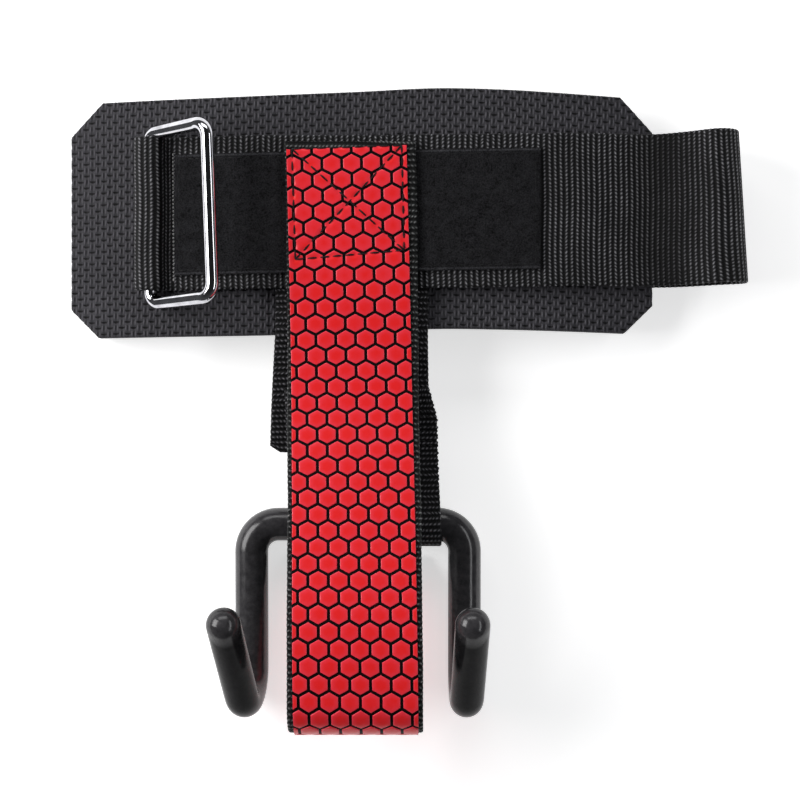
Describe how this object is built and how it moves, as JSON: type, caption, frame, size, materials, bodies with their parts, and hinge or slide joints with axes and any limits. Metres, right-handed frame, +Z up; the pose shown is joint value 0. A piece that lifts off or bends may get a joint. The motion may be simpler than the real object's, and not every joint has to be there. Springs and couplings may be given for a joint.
{
  "type": "lifting wrist strap with double hook",
  "caption": "Padded wrist wrap with a webbing band, chrome ring and hook-and-loop closure, carrying a coated steel double hook under a honeycomb grip flap.",
  "frame": {"origin": "middle of the base of the whole object's box, as it lies flat with its outer face up", "axes": "+X along the wrist band from the ring towards the folded tail, +Y from the hooks up to the pad, +Z up, out of the strap's outer face"},
  "size_m": [0.2228, 0.2078, 0.0541],
  "materials": {
    "foam": "matt embossed closed-cell foam",
    "lining": "matt knitted lining",
    "webbing": "ribbed polypropylene webbing",
    "loop_pile": "brushed nylon loop pile",
    "hook_pile": "moulded nylon hook pile",
    "thread": "twisted polyester thread",
    "grip_film": "glossy red honeycomb film with black grooves",
    "ring_chrome": "polished nickel chrome",
    "steel": "plain steel rod, hidden",
    "vinyl": "soft glossy dipped vinyl"
  },
  "bodies": {
    "wrist_wrap": {"pad_lining": "lining", "pad_foam": "foam", "wrist_band": "webbing", "ring_loop_stitching": "thread", "loop_patch": "loop_pile", "loop_patch_stitching": "thread", "hanger_root": "webbing", "flap_root": "webbing", "flap_root_grip": "grip_film", "flap_box_stitching": "thread"},
    "ring": {"ring": "ring_chrome"},
    "tail": {"band_tail": "webbing", "hook_patch": "hook_pile", "hook_patch_stitching": "thread", "tail_end_stitching": "thread"},
    "flap": {"flap_strap": "webbing", "flap_grip": "grip_film", "flap_tip_stitching": "thread"},
    "hanger": {"hanger_strap": "webbing", "hook_loop": "webbing", "hanger_stitching": "thread"},
    "hook": {"hook_core": "steel", "hook_coating": "vinyl"}
  },
  "joints": [
    {"name": "ring_swing", "type": "hinge", "parent": "wrist_wrap", "child": "ring", "pos_m": [-0.0834, 0.0638, 0.01838], "axis": [0, -1, 0], "range_deg": [-22.5, 146]},
    {"name": "tail_swing", "type": "hinge", "parent": "wrist_wrap", "child": "tail", "pos_m": [0.10598, 0.0643, 0.00855], "axis": [0, -1, 0], "range_deg": [0, 90]},
    {"name": "flap_lift", "type": "hinge", "parent": "wrist_wrap", "child": "flap", "pos_m": [-0.017, 0.032, 0.0254], "axis": [-1, 0, 0], "range_deg": [0, 135]},
    {"name": "hanger_swing", "type": "hinge", "parent": "wrist_wrap", "child": "hanger", "pos_m": [-0.0173, 0.0235, 0.0189], "axis": [1, 0, 0], "range_deg": [0, 80]},
    {"name": "hook_swing", "type": "hinge", "parent": "hanger", "child": "hook", "pos_m": [-0.0155, -0.0396, 0.0074], "axis": [-1, 0, 0], "range_deg": [-60, 100]}
  ]
}
